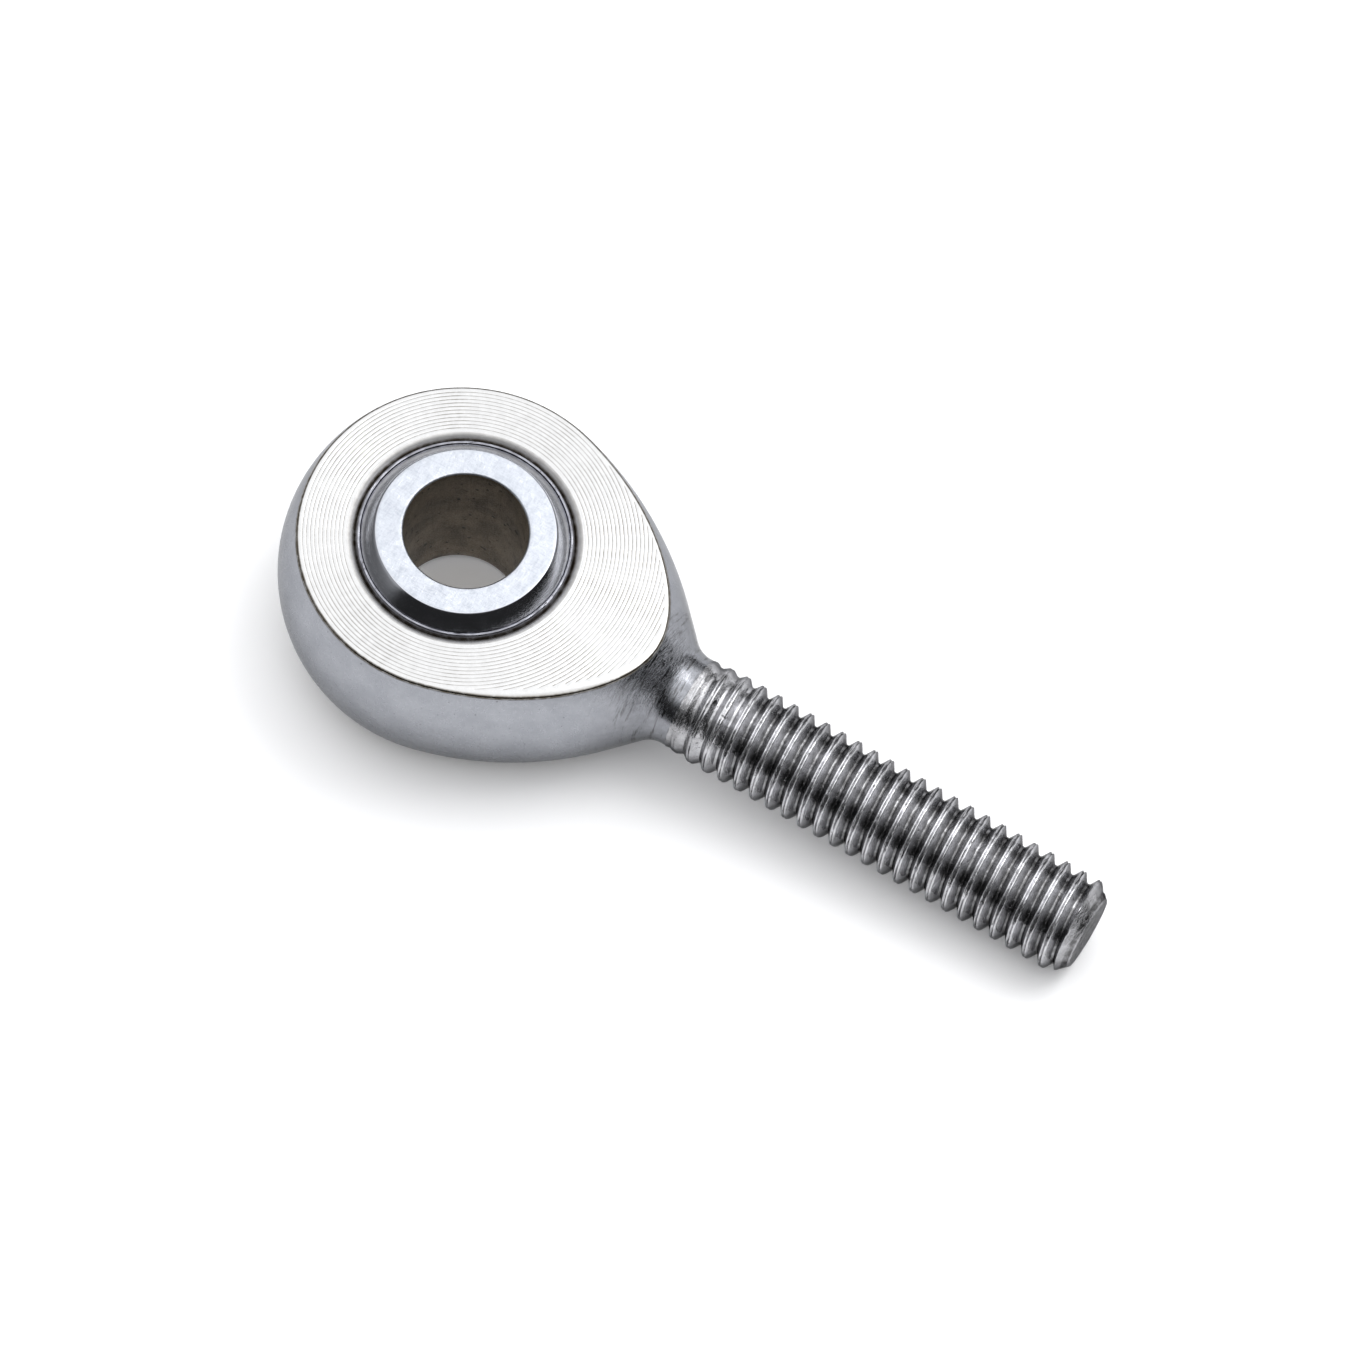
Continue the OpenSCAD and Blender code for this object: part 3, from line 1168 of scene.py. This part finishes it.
METALS: tuple[Metal, ...] = (
    TurnedFace(Finish.TURNED_FACE, (0.475, 0.475, 0.475), (0.425, 0.425, 0.425), 0.19, 0.04, 0.0035),
    PlatedFlank(
        Finish.PLATED_FLANK, (0.342, 0.351, 0.378), (0.28, 0.289, 0.315), 0.26, 0.08, 0.008, edge=0.6
    ),
    RolledThread(Finish.ROLLED_THREAD, (0.60, 0.60, 0.62), (0.39, 0.39, 0.40), 0.11, 0.09, 0.016, edge=0.2),
    StakedRace(Finish.STAKED_RACE, (0.27, 0.275, 0.305), (0.17, 0.17, 0.19), 0.26, 0.1, 0.006),
    ChromeSphere(Finish.CHROME_SPHERE, (0.50, 0.51, 0.55), (0.44, 0.45, 0.49), 0.10, 0.06, 0.0008),
    GroundFace(Finish.GROUND_FACE, (0.425, 0.44, 0.475), (0.305, 0.325, 0.36), 0.26, 0.12, 0.011),
    DarkBore(Finish.DARK_BORE, (0.30, 0.25, 0.19), (0.10, 0.08, 0.06), 0.36, 0.15, 0.03, 0.75),
)


def direction(azimuth: float, elevation: float) -> Vector:
    """Unit vector at an azimuth from +X and an elevation, both in degrees."""
    a, e = math.radians(azimuth), math.radians(elevation)
    return Vector((math.cos(e) * math.cos(a), math.cos(e) * math.sin(a), math.sin(e)))


def cosine(degrees: float) -> float:
    """Cosine of an angle in degrees."""
    return math.cos(math.radians(degrees))


def sine(degrees: float) -> float:
    """Sine of an angle in degrees."""
    return math.sin(math.radians(degrees))


def facing(place: Vector, back: Vector, roll: float = 0.0) -> Matrix:
    """Matrix of a camera or lamp that looks against a direction.

    Args:
        place: Where it stands.
        back: Unit vector from what it looks at towards it.
        roll: Turn about that line, in degrees.

    Returns:
        The matrix.
    """
    right = Vector((-back.y, back.x, 0.0)).normalized()
    up = back.cross(right)
    a = math.radians(roll)
    x = right * math.cos(a) + up * math.sin(a)
    turned = Matrix((x, back.cross(x), back)).transposed().to_4x4()
    turned.translation = place
    return turned


@dataclass
class Studio:
    """Floor, lamps, surroundings and camera."""

    aim: tuple[float, float, float] = (18.245, 1.412, 0.0)
    camera_azimuth: float = -67.129
    camera_elevation: float = 64.852
    camera_roll: float = 9.135
    camera_distance: float = 609.92
    lens: float = 213.33
    ceiling: float = 2.0
    ceiling_azimuth: float = 110.0
    ceiling_elevation: float = 72.0
    ceiling_reach: float = 41.0
    walls: float = 0.62
    horizon: float = 0.25
    soft: float = 12.0
    dark: float = 0.03
    dark_azimuth: float = -44.0
    dark_reach: float = 72.0
    dark_top: float = 40.0
    floor_size: float = 4.0
    floor_gap: float = 0.02
    shank_radius: float = 3.96875
    shank_chamfer: float = 1.1

    def build(self) -> None:
        """Sets the whole stage."""
        self.set_camera()
        self.set_floor()
        self.set_sky()
        self.set_lamp("softbox", azimuth=62.0, elevation=60.0, distance=0.55, size=0.28, radiance=3.4)
        view = bpy.context.scene.view_settings
        view.view_transform = "Standard"
        view.look = "None"
        log.info("stage: camera, floor, sky and softbox")

    def set_camera(self) -> None:
        """Places the camera."""
        data = bpy.data.cameras.new("camera")
        data.lens, data.sensor_width = self.lens, 36.0
        data.clip_start, data.clip_end = 0.05, 20.0
        camera = put("camera", data)
        back = direction(self.camera_azimuth, self.camera_elevation)
        place = (Vector(self.aim) + back * self.camera_distance) * MM
        camera.matrix_world = facing(place, back, self.camera_roll)
        bpy.context.scene.camera = camera

    def set_floor(self) -> None:
        """Lays the floor under the ball's lower edge and the end of the shank, on which the part rests."""
        ball_low, ball_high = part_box("ball")
        _, body_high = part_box("rod_end_body")
        half = (ball_high.z - ball_low.z) / 2
        spread = math.sqrt(ball_high.x**2 - half**2)
        near = Vector((spread, 0.0, ball_low.z))
        far = Vector((body_high.x - self.shank_chamfer * MM, 0.0, -self.shank_radius * MM))
        slope = (far - near).normalized()
        up = slope.cross(Vector((0.0, 1.0, 0.0))).normalized()
        up = up if up.z > 0 else -up
        s = self.floor_size / 2
        middle = near - up * self.floor_gap * MM
        spots = ((-s, -s), (s, -s), (s, s), (-s, s))
        corners = [tuple(middle + slope * a + Vector((0.0, b, 0.0))) for a, b in spots]
        mesh = bpy.data.meshes.new("floor")
        mesh.from_pydata(corners, [], [(0, 1, 2, 3)])
        material = bpy.data.materials.new("pale_floor")
        material.use_nodes = True
        shader = material.node_tree.nodes["Principled BSDF"]
        shader.inputs["Base Color"].default_value = (0.9, 0.9, 0.905, 1.0)
        shader.inputs["Emission Color"].default_value = (1.0, 1.0, 1.0, 1.0)
        shader.inputs["Emission Strength"].default_value = 0.11
        shader.inputs["Roughness"].default_value = 0.8
        shader.inputs["Specular IOR Level"].default_value = 0.1
        mesh.materials.append(material)
        put("floor", mesh)

    def set_sky(self) -> None:
        """Surrounds the part with a bright ceiling and dim walls, and leaves the front of the room dark."""
        world = bpy.data.worlds.new("studio")
        bpy.context.scene.world = world
        world.use_nodes = True
        world.node_tree.nodes.clear()
        w = Wiring(world.node_tree)
        towards = w.add("ShaderNodeTexCoord").outputs["Generated"]
        level = w.vector("NORMALIZE", w.vector("MULTIPLY", towards, ROUND_BORE))
        height = w.add("ShaderNodeSeparateXYZ", {0: towards}).outputs["Z"]
        above = w.dot(towards, direction(self.ceiling_azimuth, self.ceiling_elevation))
        rim, top = cosine(self.ceiling_reach + self.soft), cosine(self.ceiling_reach)
        ceiling = w.ramp(above, rim, top, self.walls, self.ceiling)
        ahead = w.dot(level, direction(self.dark_azimuth, 0.0))
        front = w.ramp(ahead, cosine(self.dark_reach + self.soft), cosine(self.dark_reach))
        low = w.ramp(height, sine(self.dark_top), sine(self.dark_top + 14.0), 1.0, 0.0)
        horizon = w.ramp(height, sine(4.0), sine(32.0), self.horizon, 1.0)
        lit = w.times(w.times(ceiling, w.less(1.0, w.times(front, low))), horizon)
        strength = w.math("ADD", lit, self.dark)
        background = w.add("ShaderNodeBackground", {"Color": (0.985, 0.99, 1.0, 1.0), "Strength": strength})
        w.add("ShaderNodeOutputWorld", {"Surface": background.outputs[0]})

    def set_lamp(
        self, name: str, azimuth: float, elevation: float, distance: float, size: float, radiance: float
    ) -> None:
        """Hangs a square soft lamp that points at the part.

        Args:
            name: Its name.
            azimuth: Where it hangs, in degrees from +X.
            elevation: How high it hangs, in degrees.
            distance: How far from the part, in metres.
            size: Length of its side, in metres.
            radiance: How bright its surface is.
        """
        data = bpy.data.lights.new(name, "AREA")
        data.size = size
        data.energy = radiance * math.pi * size * size
        lamp = put(name, data)
        back = direction(azimuth, elevation)
        lamp.matrix_world = facing(Vector(self.aim) * MM + back * distance, back)


def main() -> None:
    """Builds the rod end and the stage round it."""
    logging.basicConfig(level=logging.INFO, format="%(name)s: %(message)s")
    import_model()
    effects = Effects()
    materials = {metal.finish: metal.build(effects) for metal in METALS}
    pieces = ((Body(), "body", "rod_end_body"), (Race(), "race", "race"), (Ball(), "ball", "ball"))
    for piece, body, node in pieces:
        made = piece.build(materials)
        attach(made, body)
        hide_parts(node)
        log.info("%s stands for %s", made.name, node)
    Studio().build()


if __name__ == "__main__":
    main()
